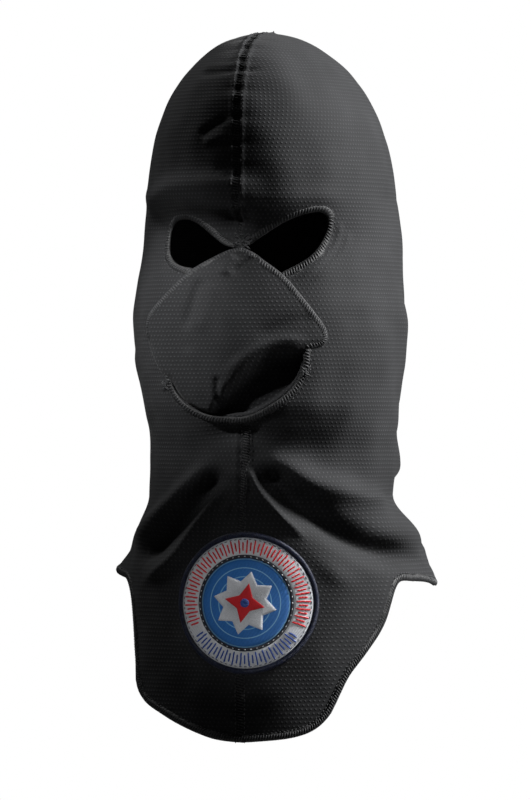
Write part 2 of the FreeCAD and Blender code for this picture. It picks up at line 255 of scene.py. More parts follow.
# (points of degrees round from the front seam and level, width, height), for the sides and back
ROUND_FOLDS = [
    ([(92, -108), (112, -122), (145, -131), (182, -134)], 6.5, -3.4),
    ([(88, -119), (110, -134), (145, -145), (182, -148)], 6.0, 3.0),
    ([(98, -136), (118, -148), (150, -157), (182, -159)], 5.5, -2.8),
    ([(104, -150), (130, -162), (160, -170)], 5.0, 2.0),
    ([(84, -26), (98, -56), (113, -88), (126, -112)], 8.0, 1.9),
    ([(92, -18), (108, -50), (126, -84)], 7.0, -1.7),
    ([(96, 44), (108, 14), (116, -18)], 9.0, 1.2),
    ([(150, 62), (158, 24), (166, -20), (170, -70)], 9.0, 1.4),
    ([(140, 40), (150, 0), (158, -44)], 8.0, -1.2),
    ([(100, -178), (106, -190), (110, -203)], 6.0, 2.2),
    ([(128, -168), (134, -184), (137, -203)], 6.0, -2.2),
]
DEGREE_MM = 1.5
# (across, up, width, drop, height): soft rounded forms
FORMS = [
    (-3, -113, 17, 8, -5.5),
    (-28, 2, 22, 13, -5.5),
    (28, 4, 22, 12, -3.0),
    (-2, 6, 10, 10, -3.2),
    (46, -34, 22, 22, 2.0),
    (-48, -30, 20, 20, 2.0),
    (4, -240, 70, 40, 1.5),
    (54, -60, 22, 24, 1.5),
    (46, -124, 24, 16, -2.5),
]
BADGE_CENTRE = (3.0, -213.0)
BADGE_RADIUS = 41.5


def fold_height(x, z):
    """How far the cloth stands out from its smooth form, seen from the front."""
    height = np.zeros(x.shape)
    for points, width, rise in FOLDS:
        line = curve_through(points, 4.0)
        gap, along = distance_to_line(x, z, line)
        taper = smoothstep(0, 0.16, along) * (1 - smoothstep(0.72, 1.0, along))
        height += rise * bell(gap, 0, width) * taper
    for across, up, wide, tall, rise in FORMS:
        height += rise * bell(x, across, wide) * bell(z, up, tall)
    from_badge = np.hypot(x - BADGE_CENTRE[0], z - BADGE_CENTRE[1])
    return height * smoothstep(BADGE_RADIUS - 4, BADGE_RADIUS + 14, from_badge)


def round_fold_height(turn, z):
    """The folds of the sides and back: the right side has the left one's folds, lower and softer."""
    height = np.zeros(turn.shape)
    for points, width, rise in ROUND_FOLDS:
        line = curve_through(np.array(points) * (DEGREE_MM, 1), 5.0)
        for side, drop, share in ((1, 0, 1.0), (-1, 7, 0.8)):
            gap, along = distance_to_line(side * turn * DEGREE_MM, z + drop, line)
            taper = smoothstep(0, 0.25, along) * (1 - 0.5 * smoothstep(0.75, 1.0, along))
            height += share * rise * bell(gap, 0, width) * taper
    return height


SEAM_RIDGE, RIDGE_FROM_SEAM, RIDGE_WIDTH = 0.7, 3.1, 1.3
SEAM_GROOVE, GROOVE_WIDTH = 0.5, 1.6
# height, length along the seam and reach to its sides of the puckers
SHORT_PUCKER = (0.5, 7.3, 5.0)
LONG_PUCKER = (0.6, 16.1, 9.0)


def seam_height(across, run):
    """The flat seam's groove, its two raised sides and the puckers beside it."""
    across = np.abs(across)
    ridges = SEAM_RIDGE * bell(across, RIDGE_FROM_SEAM, RIDGE_WIDTH)
    groove = SEAM_GROOVE * bell(across, 0, GROOVE_WIDTH)
    rise, length, reach = SHORT_PUCKER
    short = rise * np.sin(run * math.tau / length + 1.3 * np.sin(run / 11)) * np.exp(-across / reach)
    rise, length, reach = LONG_PUCKER
    long = rise * np.sin(run * math.tau / length + 0.7) * np.exp(-across / reach)
    return ridges - groove + short + long


# ---------------------------------------------------------------- the hood's surface


def half_columns():
    """Angles from the front seam to the back seam, closer together at the face."""
    share = np.linspace(0, 1, COLUMNS_HALF + 1)
    return math.pi * (0.7 * share + 0.3 * share ** 2)


def hood_base():
    """The smooth form: each column's angle, and a grid of points from crown to hem."""
    half = half_columns()
    around = np.concatenate([-half[:0:-1], half])
    dome_turn = np.linspace(0.004, math.pi / 2, ROWS_DOME, endpoint=False)
    up = np.cos(dome_turn)
    side = (1 - up ** 2) ** 0.5
    fore = (1 - up ** 4.5) ** (1 / 2.4)
    aft = (1 - up ** 3) ** 0.5
    brow = SECTIONS[0]
    level = BROW_LEVEL + up * (CROWN_LEVEL - BROW_LEVEL)
    dome = np.column_stack([
        level,
        brow[1] * side,
        CROWN_MIDDLE + (brow[2] - CROWN_MIDDLE) * fore,
        CROWN_MIDDLE + (brow[3] - CROWN_MIDDLE) * aft,
    ])
    head_levels = np.linspace(BROW_LEVEL, COLLAR_LEVEL, ROWS_HEAD)
    head = section_at(head_levels)
    sections = np.vstack([dome, head])
    grid = ring_points(sections[:, None, :], around[None, :])
    skirt = skirt_points(around)
    return around, np.concatenate([grid, skirt], axis=0)


def section_at(levels):
    """Level, half width, front and back at any level below the brow."""
    keys = SECTIONS[:, 0]
    columns = [levels] + [monotone(keys, SECTIONS[:, k], levels) for k in (1, 2, 3)]
    return np.stack(columns, axis=-1)


def ring_points(section, around):
    """Points on horizontal ellipses: 0 is the front and plus goes to the wearer's left."""
    level, half_width, front, back = (section[..., k] for k in range(4))
    middle, depth = (front + back) / 2, (back - front) / 2
    x = half_width * np.sin(around)
    y = middle - depth * np.cos(around)
    return np.stack([x, y, np.broadcast_to(level, x.shape)], axis=-1)


# (rise, degrees round from the front seam, width) of the neck hem's high and low places
HEM_HEIGHTS = [(-5.0, 97, 9), (3.0, -88, 10)]
# (reach, degrees round from the front seam, width) of the neck hem's two drawn-out tips
HEM_TIPS = [(4.5, 95, 12), (8.0, -84, 10)]
BIB_REACH, BIB_WIDEST = 97, 93


def around_front(turn, places):
    """The sum of rounded forms at (height, degrees, width) round the hood."""
    return sum(height * bell(turn, place, width) for height, place, width in places)


def hem_height(around):
    """The level of the cut edge at each angle: the bib in front, the neck hem elsewhere."""
    reach = np.minimum(BIB_REACH * np.abs(np.sin(around)), BIB_WIDEST)
    bib = np.where(around > 0, monotone(*BIB_EDGE_LEFT.T, reach), monotone(*BIB_EDGE_RIGHT.T, reach))
    turn = np.degrees(around)
    neck = HEM_LEVEL + 2.5 * np.sin(np.radians(turn * 3 + 40)) + around_front(turn, HEM_HEIGHTS)
    in_front = smoothstep(75, 62, np.abs(turn))
    return neck * (1 - in_front) + bib * in_front


def skirt_points(around):
    """Rows from the collar down to the cut edge, each row a share of the way."""
    share = np.linspace(0, 1, ROWS_SKIRT + 1)[1:, None]
    level = COLLAR_LEVEL + share * (hem_height(around)[None, :] - COLLAR_LEVEL)
    points = ring_points(section_at(level), np.broadcast_to(around, level.shape))
    turn = np.degrees(around)[None, :]
    depth = smoothstep(COLLAR_LEVEL, HEM_LEVEL - 4, level)
    low = smoothstep(-180, -202, level)
    flute = 2.6 * np.sin(np.radians(turn * 5 + 20)) * depth * smoothstep(70, 110, np.abs(turn))
    roll = 7.5 * bell(level, -171, 12) * bell(turn, 86, 24)
    outward = flute + roll + around_front(turn, HEM_TIPS) * low
    points[..., 0] += outward * np.sin(around)
    points[..., 1] -= outward * np.cos(around)
    return points


def chin_lean(level):
    """How far the chin and collar sit towards the wearer's left."""
    return 3.4 * bell(level, -112, 34)


def grid_normals(points):
    """Outward normals of a grid whose rows run down and columns run round to the left."""
    down = np.gradient(points, axis=0)
    across = np.gradient(points, axis=1)
    return unit(np.cross(down, across))


around, base = hood_base()
base[..., 0] += chin_lean(base[..., 2])
base_normal = grid_normals(base)
front_share = smoothstep(0.02, 0.35, -base_normal[..., 1]) * (base[..., 1] < 10)
row_run = np.concatenate([
    np.zeros((1, base.shape[1])),
    np.cumsum(np.linalg.norm(np.diff(base, axis=0), axis=-1), axis=0),
])
lift = fold_height(base[..., 0], base[..., 2]) * front_share
lift += round_fold_height(np.degrees(around)[None, :] + 0 * base[..., 2], base[..., 2])
lift += 0.35 * soft_noise(base[..., 0] + base[..., 1], base[..., 2], 46, 3)
lift += 0.18 * soft_noise(base[..., 0] - base[..., 1], base[..., 2], 19, 4)
hood_skin = base + base_normal * lift[..., None]
hood_normal = grid_normals(hood_skin)
beside_badge = np.hypot(base[..., 0] - BADGE_CENTRE[0], base[..., 2] - BADGE_CENTRE[1])
seam_share = smoothstep(BADGE_RADIUS - 2, BADGE_RADIUS + 6, beside_badge)
seam_share *= 1 - 0.75 * smoothstep(-225, -262, base[..., 2])
seam_share = np.where(base[..., 1] > 0, 0.55, seam_share)
hood_skin = hood_skin + hood_normal * (
    seam_height(base[..., 0], row_run) * seam_share)[..., None]
hood_normal = grid_normals(hood_skin)
MIDDLE = base.shape[1] // 2

# cloth coordinates in millimetres: across from the side of the head, down from the crown
flat_step = np.linalg.norm(np.diff(base[..., :2], axis=1), axis=-1)
across_run = np.concatenate([np.zeros((base.shape[0], 1)), np.cumsum(flat_step, axis=1)], axis=1)
side_column = MIDDLE + int(np.argmin(np.abs(half_columns() - math.pi / 2)))
cloth_u = across_run - across_run[:, side_column][:, None]
cloth_v = np.repeat(row_run[:, side_column][:, None], base.shape[1], axis=1)
below_collar = ROWS_DOME + ROWS_HEAD
cloth_v[below_collar:] = cloth_v[below_collar - 1] + (COLLAR_LEVEL - base[below_collar:, :, 2])
hood_cloth = np.stack([cloth_u, -cloth_v], axis=-1)


def cells_of(number):
    """The four corners of every cell of a grid of point numbers, facing out."""
    corners = [number[:-1, :-1], number[1:, :-1], number[1:, 1:], number[:-1, 1:]]
    return np.stack(corners, axis=-1).reshape(-1, 4)


def grid_quads(rows, columns):
    """The corners of every cell of a whole grid."""
    return cells_of(np.arange(rows * columns).reshape(rows, columns))


hood_tree = BVHTree.FromPolygons(
    hood_skin.reshape(-1, 3).tolist(), grid_quads(*hood_skin.shape[:2]).tolist())
BEFORE_FACE = -300.0
INWARD = Vector((0, 1, 0))
FACE_DEPTH = -90.0


def on_front(x, z):
    """The places on the front of the hood at (x, z), and the normals there."""
    places, normals = [], []
    for across, up in zip(np.atleast_1d(x), np.atleast_1d(z)):
        place, normal, _, _ = hood_tree.ray_cast(Vector((across, BEFORE_FACE, up)), INWARD)
        if place is None:
            place, normal, _, _ = hood_tree.find_nearest(Vector((across, FACE_DEPTH, up)))
        places.append(place)
        normals.append(normal if normal.y < 0 else -normal)
    return np.array(places), unit(np.array(normals))


# ---------------------------------------------------------------- meshes


def add_object(name, data):
    """A new object in the scene."""
    made = bpy.data.objects.new(name, data)
    bpy.context.collection.objects.link(made)
    return made


def make_mesh(name, points, faces, cloth):
    """A smooth mesh object from points in millimetres, with cloth coordinates as its UV map."""
    mesh = bpy.data.meshes.new(name)
    mesh.from_pydata((np.asarray(points, float) * MM).tolist(), [], [list(f) for f in faces])
    layer = mesh.uv_layers.new(name="cloth")
    corner = np.empty(len(mesh.loops), np.int32)
    mesh.loops.foreach_get("vertex_index", corner)
    layer.data.foreach_set("uv", np.asarray(cloth, np.float32)[corner].ravel())
    mesh.shade_smooth()
    return add_object(name, mesh)


def drop_unused(points, faces, *more):
    """Leaves out points that no face uses."""
    used = np.unique(faces)
    renumber = np.full(len(points), -1)
    renumber[used] = np.arange(len(used))
    return [points[used], renumber[faces]] + [extra[used] for extra in more]


def open_edges(faces):
    """The directed edges that only one face uses."""
    edges = np.concatenate([faces[:, [k, (k + 1) % faces.shape[1]]] for k in range(faces.shape[1])])
    edges = edges[edges[:, 0] != edges[:, 1]]
    keys = np.sort(edges, axis=1)
    _, first, count = np.unique(keys, axis=0, return_index=True, return_counts=True)
    return edges[first[count == 1]]


def thick_sheet(name, points, normals, faces, cloth, outer, inner):
    """A closed cloth layer between two distances from a surface."""
    points, faces, normals, cloth = drop_unused(points, faces, normals, cloth)
    count = len(points)
    rim = open_edges(faces)
    rim_faces = np.column_stack([rim[:, 1], rim[:, 0], rim[:, 0] + count, rim[:, 1] + count])
    both = np.vstack([points + normals * outer, points + normals * inner])
    all_faces = np.vstack([faces, faces[:, ::-1] + count, rim_faces])
    return make_mesh(name, both, all_faces, np.vstack([cloth, cloth]))


def edge_near_outline(points, faces, outline, reach):
    """Pairs of numbers: a point on a cut grid's open edge, and the outline point nearest to it."""
    pairs = []
    for number in np.unique(open_edges(faces)):
        gap = np.hypot(outline[:, 0] - points[number, 0], outline[:, 1] - points[number, 2])
        nearest = int(np.argmin(gap))
        if gap[nearest] < reach:
            pairs.append((number, nearest))
    return pairs


# ---------------------------------------------------------------- hood panels and linings

rows, columns = hood_skin.shape[:2]
flat_points = hood_skin.reshape(-1, 3)
flat_normals = hood_normal.reshape(-1, 3)
flat_cloth = hood_cloth.reshape(-1, 2)
FACE_LIMIT = -20.0
SNAP_REACH = 3.5


def hood_faces(step):
    """Cells of the hood grid, every step-th line, without the cells inside the face opening."""
    row_pick = np.unique(np.append(np.arange(0, rows, step), rows - 1))
    column_pick = np.unique(np.concatenate([
        np.arange(MIDDLE, columns, step), np.arange(MIDDLE, -1, -step), [0, columns - 1]]))
    cells = cells_of(row_pick[:, None] * columns + column_pick[None, :])
    middle = flat_points[cells].mean(axis=1)
    cut_out = inside(middle[:, 0], middle[:, 2], OPENING) & (middle[:, 1] < FACE_LIMIT)
    cells = cells[~cut_out]
    column_of = cells[:, 0] % columns
    return cells[column_of < MIDDLE], cells[column_of >= MIDDLE]


def cut_edge_points(step):
    """The surface's points, with those round the face opening moved onto its outline."""
    points = flat_points.copy()
    right, left = hood_faces(step)
    for number, nearest in edge_near_outline(points, np.vstack([right, left]), OPENING, SNAP_REACH * step):
        across, up = OPENING[nearest]
        place, _, _, _ = hood_tree.ray_cast(Vector((across, BEFORE_FACE, up)), INWARD)
        if points[number, 1] < FACE_LIMIT and place is not None:
            points[number] = place
    return points, right, left


panel_points, right_faces, left_faces = cut_edge_points(1)
hood_right, hood_left = (
    thick_sheet(name, panel_points, flat_normals, faces, flat_cloth, 0, -PANEL_THICK)
    for name, faces in (("hood_right_knit", right_faces), ("hood_left_knit", left_faces)))
lining_points, right_inner, left_inner = cut_edge_points(2)
LINING_IN = -PANEL_THICK - 0.15
lining_right, lining_left = (
    thick_sheet(name, lining_points, flat_normals, faces, flat_cloth, LINING_IN, LINING_IN - LINING_THICK)
    for name, faces in (("hood_right_lining_knit", right_inner), ("hood_left_lining_knit", left_inner)))

# ---------------------------------------------------------------- wrapped thread along an edge


def along_frames(path, normals):
    """Unit directions at each point of a path: along it, across it on the cloth, and out."""
    ahead = unit(np.gradient(path, axis=0))
    out = unit(normals - (normals * ahead).sum(axis=1, keepdims=True) * ahead)
    return ahead, np.cross(out, ahead), out


def resample_with(path, normals, spacing):
    """The path and its normals at an even spacing."""
    both = np.hstack([path, normals])
    run = np.concatenate([[0], np.cumsum(np.linalg.norm(np.diff(path, axis=0), axis=1))])
    at = np.linspace(0, run[-1], max(3, int(run[-1] / spacing) + 1))
    both = np.column_stack([np.interp(at, run, both[:, k]) for k in range(6)])
    return both[:, :3], unit(both[:, 3:]), at


def smooth_rows(values, times):
    """Averages each row with its neighbours, and keeps the first and last."""
    for _ in range(times):
        between = 0.25 * values[:-2] + 0.5 * values[1:-1] + 0.25 * values[2:]
        values = np.vstack([values[:1], between, values[-1:]])
    return values


THREAD_STEP = 0.5
UNEVEN_EVERY = 3
# the wrapped thread lies on the cloth by this share of its half width, less the overhang past the cut edge
ON_CLOTH, OVERHANG = 0.92, 0.5


def overlock(name, path, normals, width=4.6, rise=0.8, below=1.0, side=1, pitch=1.75, seed=1, ends=True,
             thread=0.46):
    """Thread wrapped round a cloth edge: a soft core, slanting wraps over it and a needle line.

    The path is the cut edge. side is 1 where the cloth lies to the left of the path's way, seen
    from outside, and -1 where it lies to the right.
    """
    path, normals, run = resample_with(path, normals, THREAD_STEP)
    normals = unit(smooth_rows(normals, 6))
    _, across, out = along_frames(path, normals)
    draw = np.random.default_rng(seed)
    knots = np.arange(0, run[-1] + 2 * UNEVEN_EVERY, UNEVEN_EVERY)
    uneven = np.interp(run, knots, draw.uniform(-1, 1, len(knots)))
    around_count = 12
    turn = np.linspace(0, math.tau, around_count, endpoint=False)
    half = width / 2 * (1 + 0.13 * uneven)
    middle = half * ON_CLOTH - OVERHANG
    sideways = side * (middle[:, None] + half[:, None] * np.cos(turn))
    upward = np.where(np.sin(turn) > 0, rise, below)[None, :] * np.sin(turn) * (1 + 0.12 * uneven[:, None])
    points = path[:, None] + across[:, None] * sideways[..., None] + out[:, None] * upward[..., None]
    number = np.arange(len(path) * around_count).reshape(-1, around_count)
    ahead, back = number[:-1], number[1:]
    quads = np.stack(
        [ahead, np.roll(ahead, -1, axis=1), np.roll(back, -1, axis=1), back], axis=-1).reshape(-1, 4)
    if side < 0:
        quads = quads[:, ::-1]
    caps = []
    if ends:
        first, last = number[0], number[-1]
        caps = [list(first[::-1]), list(last)] if side > 0 else [list(first), list(last[::-1])]
    cloth = np.stack([
        np.broadcast_to(run[:, None], sideways.shape), np.broadcast_to(turn * 2, sideways.shape)], -1)
    faces = [list(q) for q in quads] + caps
    core = make_mesh(name, points.reshape(-1, 3), faces, cloth.reshape(-1, 2))
    length = width + OVERHANG
    wraps = stitch_run(f"{name}_wraps", path, normals, length=length, gap=pitch - length, thick=thread,
                       sideways=side * (width / 2 * ON_CLOTH - OVERHANG), lift=rise * 1.02,
                       slant=2.6 * side, sag=0.95, seed=seed, wander=0.14)
    needle = stitch_run(f"{name}_needle", path, normals, length=1.9, gap=0.6, thick=0.3,
                        sideways=side * (width * 0.96 - 0.2), lift=0.25, seed=seed + 500)
    return merge(name, core, wraps, needle)


def stitch_run(name, path, normals, length=2.0, gap=1.0, thick=0.45, sideways=0.0, lift=0.3, slant=0.0,
               sag=0.35, wander=0.06, seed=2):
    """Separate short stitches along a path, each a plump little capsule."""
    path, normals, _ = resample_with(path, normals, length + gap)
    ahead, across, out = along_frames(path, normals)
    draw = np.random.default_rng(seed)
    points, faces = [], []
    rings, sides = 5, 6
    for way, side, up, place in zip(ahead, across, out, path):
        turned = unit(way + side * (slant + draw.uniform(-wander, wander) * max(1.0, abs(slant) * 2)))
        beside = np.cross(up, turned)
        aside = side * (sideways + draw.uniform(-0.1, 0.1))
        centre = place + aside + up * (lift + draw.uniform(-0.04, 0.04))
        start = len(points)
        for ring in range(rings):
            share = ring / (rings - 1) * 2 - 1
            fat = thick * math.sqrt(max(0.04, 1 - share ** 4))
            middle = centre + turned * share * length / 2 - up * sag * share ** 2
            for k in range(sides):
                turn = math.tau * k / sides
                points.append(middle + (beside * math.cos(turn) + up * math.sin(turn)) * fat)
        for ring in range(rings - 1):
            for k in range(sides):
                a, b = start + ring * sides + k, start + ring * sides + (k + 1) % sides
                faces.append([a, b, b + sides, a + sides])
        faces.append([start + k for k in range(sides)][::-1])
        faces.append([start + (rings - 1) * sides + k for k in range(sides)])
    return make_mesh(name, np.array(points), faces, np.zeros((len(points), 2)))


def merge(name, *parts):
    """Joins mesh objects into one."""
    with bpy.context.temp_override(active_object=parts[0], selected_editable_objects=list(parts)):
        bpy.ops.object.join()
    parts[0].name = name
    parts[0].data.name = name
    return parts[0]


def split_line(line, keep):
    """The stretches of a line where keep is true."""
    stretches, start = [], None
    for k, wanted in enumerate(keep):
        if wanted and start is None:
            start = k
        if start is not None and (not wanted or k == len(keep) - 1):
            if k - start > 4:
                stretches.append(line[start:k + 1])
            start = None
    return stretches


# ---------------------------------------------------------------- edges and seams of the hood


EDGE_SINK = 0.4


def front_path(line):
    """A drawn line laid on the front of the hood and sunk a little into it, with its normals."""
    line = evenly(line, 1.2)
    places, normals = on_front(line[:, 0], line[:, 1])
    return smooth_rows(places - normals * EDGE_SINK, 3), unit(smooth_rows(normals, 8))


edge_left = overlock("eye_edge_left_thread", *front_path(EYE_EDGE_LEFT), seed=11)
edge_right = overlock("eye_edge_right_thread", *front_path(EYE_EDGE_RIGHT), seed=12)
edge_mouth = overlock("mouth_edge_thread", *front_path(MOUTH_EDGE), rise=1.0, seed=13)

hem_path, hem_normals = smooth_rows(hood_skin[-1], 12), smooth_rows(hood_normal[-1], 12)
is_bib = hem_path[:, 2] < HEM_LEVEL - 6
bib_start, bib_end = np.flatnonzero(is_bib)[[0, -1]]
bib_hem = overlock("bib_hem_thread", hem_path[bib_start:bib_end + 1], hem_normals[bib_start:bib_end + 1],
                   width=4.2, pitch=1.6, seed=14)
neck_order = np.concatenate([np.arange(bib_end, columns), np.arange(1, bib_start + 1)])
neck_hem = overlock("neck_hem_thread", hem_path[neck_order], hem_normals[neck_order],
                    width=4.2, pitch=1.6, seed=15)


def seam_stitches(name, path, normals, seed):
    """A four-needle flat seam: a flat ladder of thread with a line of stitches on each side."""
    bars = stitch_run(f"{name}_bars", path, normals, length=4.6, gap=-3.0, thick=0.34, lift=0.3,
                      slant=4.0, sag=0.0, wander=0.1, seed=seed)
    sides = [
        stitch_run(f"{name}_side_{side}", path, normals, length=1.9, gap=0.7, thick=0.32,
                   sideways=2.7 * side, lift=0.75, seed=seed + side)
        for side in (-1, 1)
    ]
    return merge(name, bars, *sides)


front_line, front_line_normals = hood_skin[:, MIDDLE], hood_normal[:, MIDDLE]
over_face = front_line[:, 2] > 1.0
under_mouth = (front_line[:, 2] < -108.5) & (front_line[:, 2] > -295)
forehead_seam = seam_stitches(
    "forehead_seam_thread", front_line[over_face], front_line_normals[over_face], 21)
badge_gap = np.abs(front_line[:, 2] - BADGE_CENTRE[1]) > BADGE_RADIUS - 1
chin_parts = [
    seam_stitches(f"chin_seam_part_{number}", front_line[part], front_line_normals[part], 24 + number)
    for number, part in enumerate(split_line(np.arange(rows), under_mouth & badge_gap))
]
chin_seam = merge("chin_seam_thread", *chin_parts)
back_line, back_line_normals = hood_skin[:, 0], hood_normal[:, 0]
on_back = back_line[:, 2] > HEM_LEVEL + 5
back_seam = seam_stitches("back_seam_thread", back_line[on_back], back_line_normals[on_back], 31)

# ---------------------------------------------------------------- face flap

FLAP_CELL, FLAP_SNAP_REACH = 0.9, 3.0
COARSE = 3.0
coarse_x = np.arange(-72, 66, COARSE)
coarse_z = np.arange(-122, 12, COARSE)
coarse_grid_x, coarse_grid_z = np.meshgrid(coarse_x, coarse_z)
coarse_places, _ = on_front(coarse_grid_x.ravel(), coarse_grid_z.ravel())
face_depth = coarse_places[:, 1].reshape(coarse_grid_x.shape)
for _ in range(5):
    face_depth = smooth_rows(smooth_rows(face_depth, 1).T, 1).T


def face_at(x, z):
    """The smoothed depth of the hood's front at (x, z)."""
    column = np.clip((x - coarse_x[0]) / COARSE, 0, len(coarse_x) - 1.001)
    row = np.clip((z - coarse_z[0]) / COARSE, 0, len(coarse_z) - 1.001)
    i, j = row.astype(int), column.astype(int)
    a, b = row - i, column - j
    return (
        face_depth[i, j] * (1 - a) * (1 - b) + face_depth[i + 1, j] * a * (1 - b)
        + face_depth[i, j + 1] * (1 - a) * b + face_depth[i + 1, j + 1] * a * b
    )


# (points on the flap, width, height), as for the hood
FLAP_FOLDS = [
    ([(13, -6), (6, -11), (-3, -19)], 2.0, -2.0),
    ([(-2, -6), (-6, -13), (-8, -20)], 3.6, 1.8),
    ([(-22, -20), (-27, -36), (-32, -52)], 3.4, -1.8),
    ([(-14, -22), (-17, -38), (-22, -54)], 5.0, 1.0),
    ([(-11, -78), (-11.5, -88), (-12, -98)], 2.0, -2.6),
    ([(-30, -60), (-26, -78), (-22, -94)], 4.5, 1.0),
    ([(44, -58), (26, -58), (9, -66), (-8, -80)], 3.2, 1.8),
    ([(46, -44), (30, -48), (12, -56)], 4.0, -0.8),
]
DEEP_FOLD = curve_through([(56, -66), (44, -62.5), (24, -61), (9, -69), (-9, -85), (-20, -100)], 2.0)
FLAP_OUT = 3.0
# parts of the flap's outline, counted in its points
TAIL_SIDE, FREE_TAIL, LEFT_CORNER = FLAP_TAIL[-26:], FLAP_TAIL[4:-20], FLAP_EDGE_LEFT[-14:]


def flap_depth(x, z):
    """The depth of the flap's outer face at (x, z)."""
    to_rim, _ = distance_to_line(x, z, MOUTH_EDGE)
    signed = np.where(inside(x, z, OPENING), to_rim, -to_rim)
    low = np.maximum(smoothstep(-76, -88, z), smoothstep(0, 34, x) * smoothstep(-62, -70, z))
    tuck = smoothstep(4, 0.5, signed) * low
    out = FLAP_OUT + 5.0 * bell(x, -6, 24) * bell(z, -48, 26)
    for points, width, rise in FLAP_FOLDS:
        gap, along = distance_to_line(x, z, curve_through(points, 3.0))
        taper = smoothstep(0, 0.2, along) * smoothstep(1.05, 0.75, along)
        out = out + rise * bell(gap, 0, width) * taper
    gap, _ = distance_to_line(x, z, DEEP_FOLD)
    under = (z < np.interp(x, DEEP_FOLD[::-1, 0], DEEP_FOLD[::-1, 1]))
    out = out - np.where(under, 12 * smoothstep(0, 11, gap), 0) * (1 - tuck)
    out = out * (1 - tuck) - 3.4 * tuck
    to_side, _ = distance_to_line(x, z, TAIL_SIDE)
    roll = 1 - smoothstep(0, 4.5, to_side)
    to_corner, _ = distance_to_line(x, z, LEFT_CORNER)
    curl = 1 - smoothstep(0, 5, to_corner)
    return face_at(x, z) - out + 1.8 * roll + 1.6 * curl


flap_x = np.arange(-63, 55, FLAP_CELL)
flap_z = np.arange(0, -114, -FLAP_CELL)
grid_x, grid_z = (part.ravel() for part in np.meshgrid(flap_x, flap_z))
flap_cells = grid_quads(len(flap_z), len(flap_x))
cell_x, cell_z = grid_x[flap_cells].mean(axis=1), grid_z[flap_cells].mean(axis=1)
flap_cells = flap_cells[inside(cell_x, cell_z, FLAP)]
flat_flap = np.stack([grid_x, np.zeros_like(grid_x), grid_z], axis=-1)
for number, nearest in edge_near_outline(flat_flap, flap_cells, FLAP, FLAP_SNAP_REACH):
    flat_flap[number, 0], flat_flap[number, 2] = FLAP[nearest]


def flap_surface(x, z):
    """Places and outward normals of the flap's outer face."""
    depth = flap_depth(x, z)
    small = 0.4
    slope_x = (flap_depth(x + small, z) - flap_depth(x - small, z)) / (2 * small)
    slope_z = (flap_depth(x, z + small) - flap_depth(x, z - small)) / (2 * small)
    return np.stack([x, depth, z], axis=-1), unit(np.stack([slope_x, -np.ones_like(x), slope_z], axis=-1))


flap_points, flap_normals = flap_surface(flat_flap[:, 0], flat_flap[:, 2])
flap_cloth = flat_flap[:, [0, 2]]
flap_knit = thick_sheet("flap_knit", flap_points, flap_normals, flap_cells, flap_cloth, 0, -0.9)
flap_lining = thick_sheet("flap_lining_knit", flap_points, flap_normals, flap_cells, flap_cloth, -1.0, -1.6)


FLAP_EDGE_SINK = 0.8


def flap_path(line):
    """A drawn line laid on the flap and sunk a little into it, with its normals."""
    line = evenly(line, 1.2)
    places, normals = flap_surface(line[:, 0], line[:, 1])
    normals = unit(smooth_rows(normals, 10))
    return smooth_rows(places, 3) - normals * FLAP_EDGE_SINK, normals


flap_left = overlock("flap_edge_left_thread", *flap_path(FLAP_EDGE_LEFT), width=4.8, side=-1, seed=41)
flap_right = overlock("flap_edge_right_thread", *flap_path(FLAP_EDGE_RIGHT), width=4.8, side=-1, seed=42)
flap_tail = overlock("flap_tail_thread", *flap_path(FREE_TAIL), width=3.8, below=0.8, side=-1, seed=43)

# ---------------------------------------------------------------- tacks


def tack(name, centre, wide, tall, count, seed, cross=1.6, thick=0.34, lift=1.3):
    """A dense bar of threads that cross each other at one place."""
    draw = np.random.default_rng(seed)
    bars = []
    for number in range(count):
        up = centre[1] + (number / (count - 1) - 0.5) * tall
        lean = (cross if number % 2 else -cross) * draw.uniform(0.5, 1.0)
        line = np.array([
            (centre[0] - wide / 2 + draw.uniform(-0.6, 0.6), up - lean),
            (centre[0], up),
            (centre[0] + wide / 2 + draw.uniform(-0.6, 0.6), up + lean)])
        places, normals = on_front(line[:, 0], line[:, 1])
        bars.append(stitch_run(f"{name}_{number}", places, normals, length=wide, gap=wide, thick=thick,
                               lift=lift, seed=seed + number))
    return merge(name, *bars)


bridge_tack = tack("bridge_tack_thread", (1.6, -1.0), 6.0, 6.5, 12, 51, cross=2.4, lift=2.2)
mouth_tack_left = tack("mouth_tack_left_thread", (39.5, -76), 3.0, 2.4, 6, 61)
mouth_tack_right = tack("mouth_tack_right_thread", (-46.5, -84), 3.0, 2.4, 6, 71)

# ---------------------------------------------------------------- badge

BORDER_WIDTH = 3.2
RING_OUT, RING_IN, TICK_IN = BADGE_RADIUS - BORDER_WIDTH + 0.4, 28.5, 26.5


def badge_places(across, up, out):
    """Places on the badge's face, across and up from its centre."""
    places, normals = on_front(across + BADGE_CENTRE[0], up + BADGE_CENTRE[1])
    return places + normals * np.asarray(out)[:, None], normals


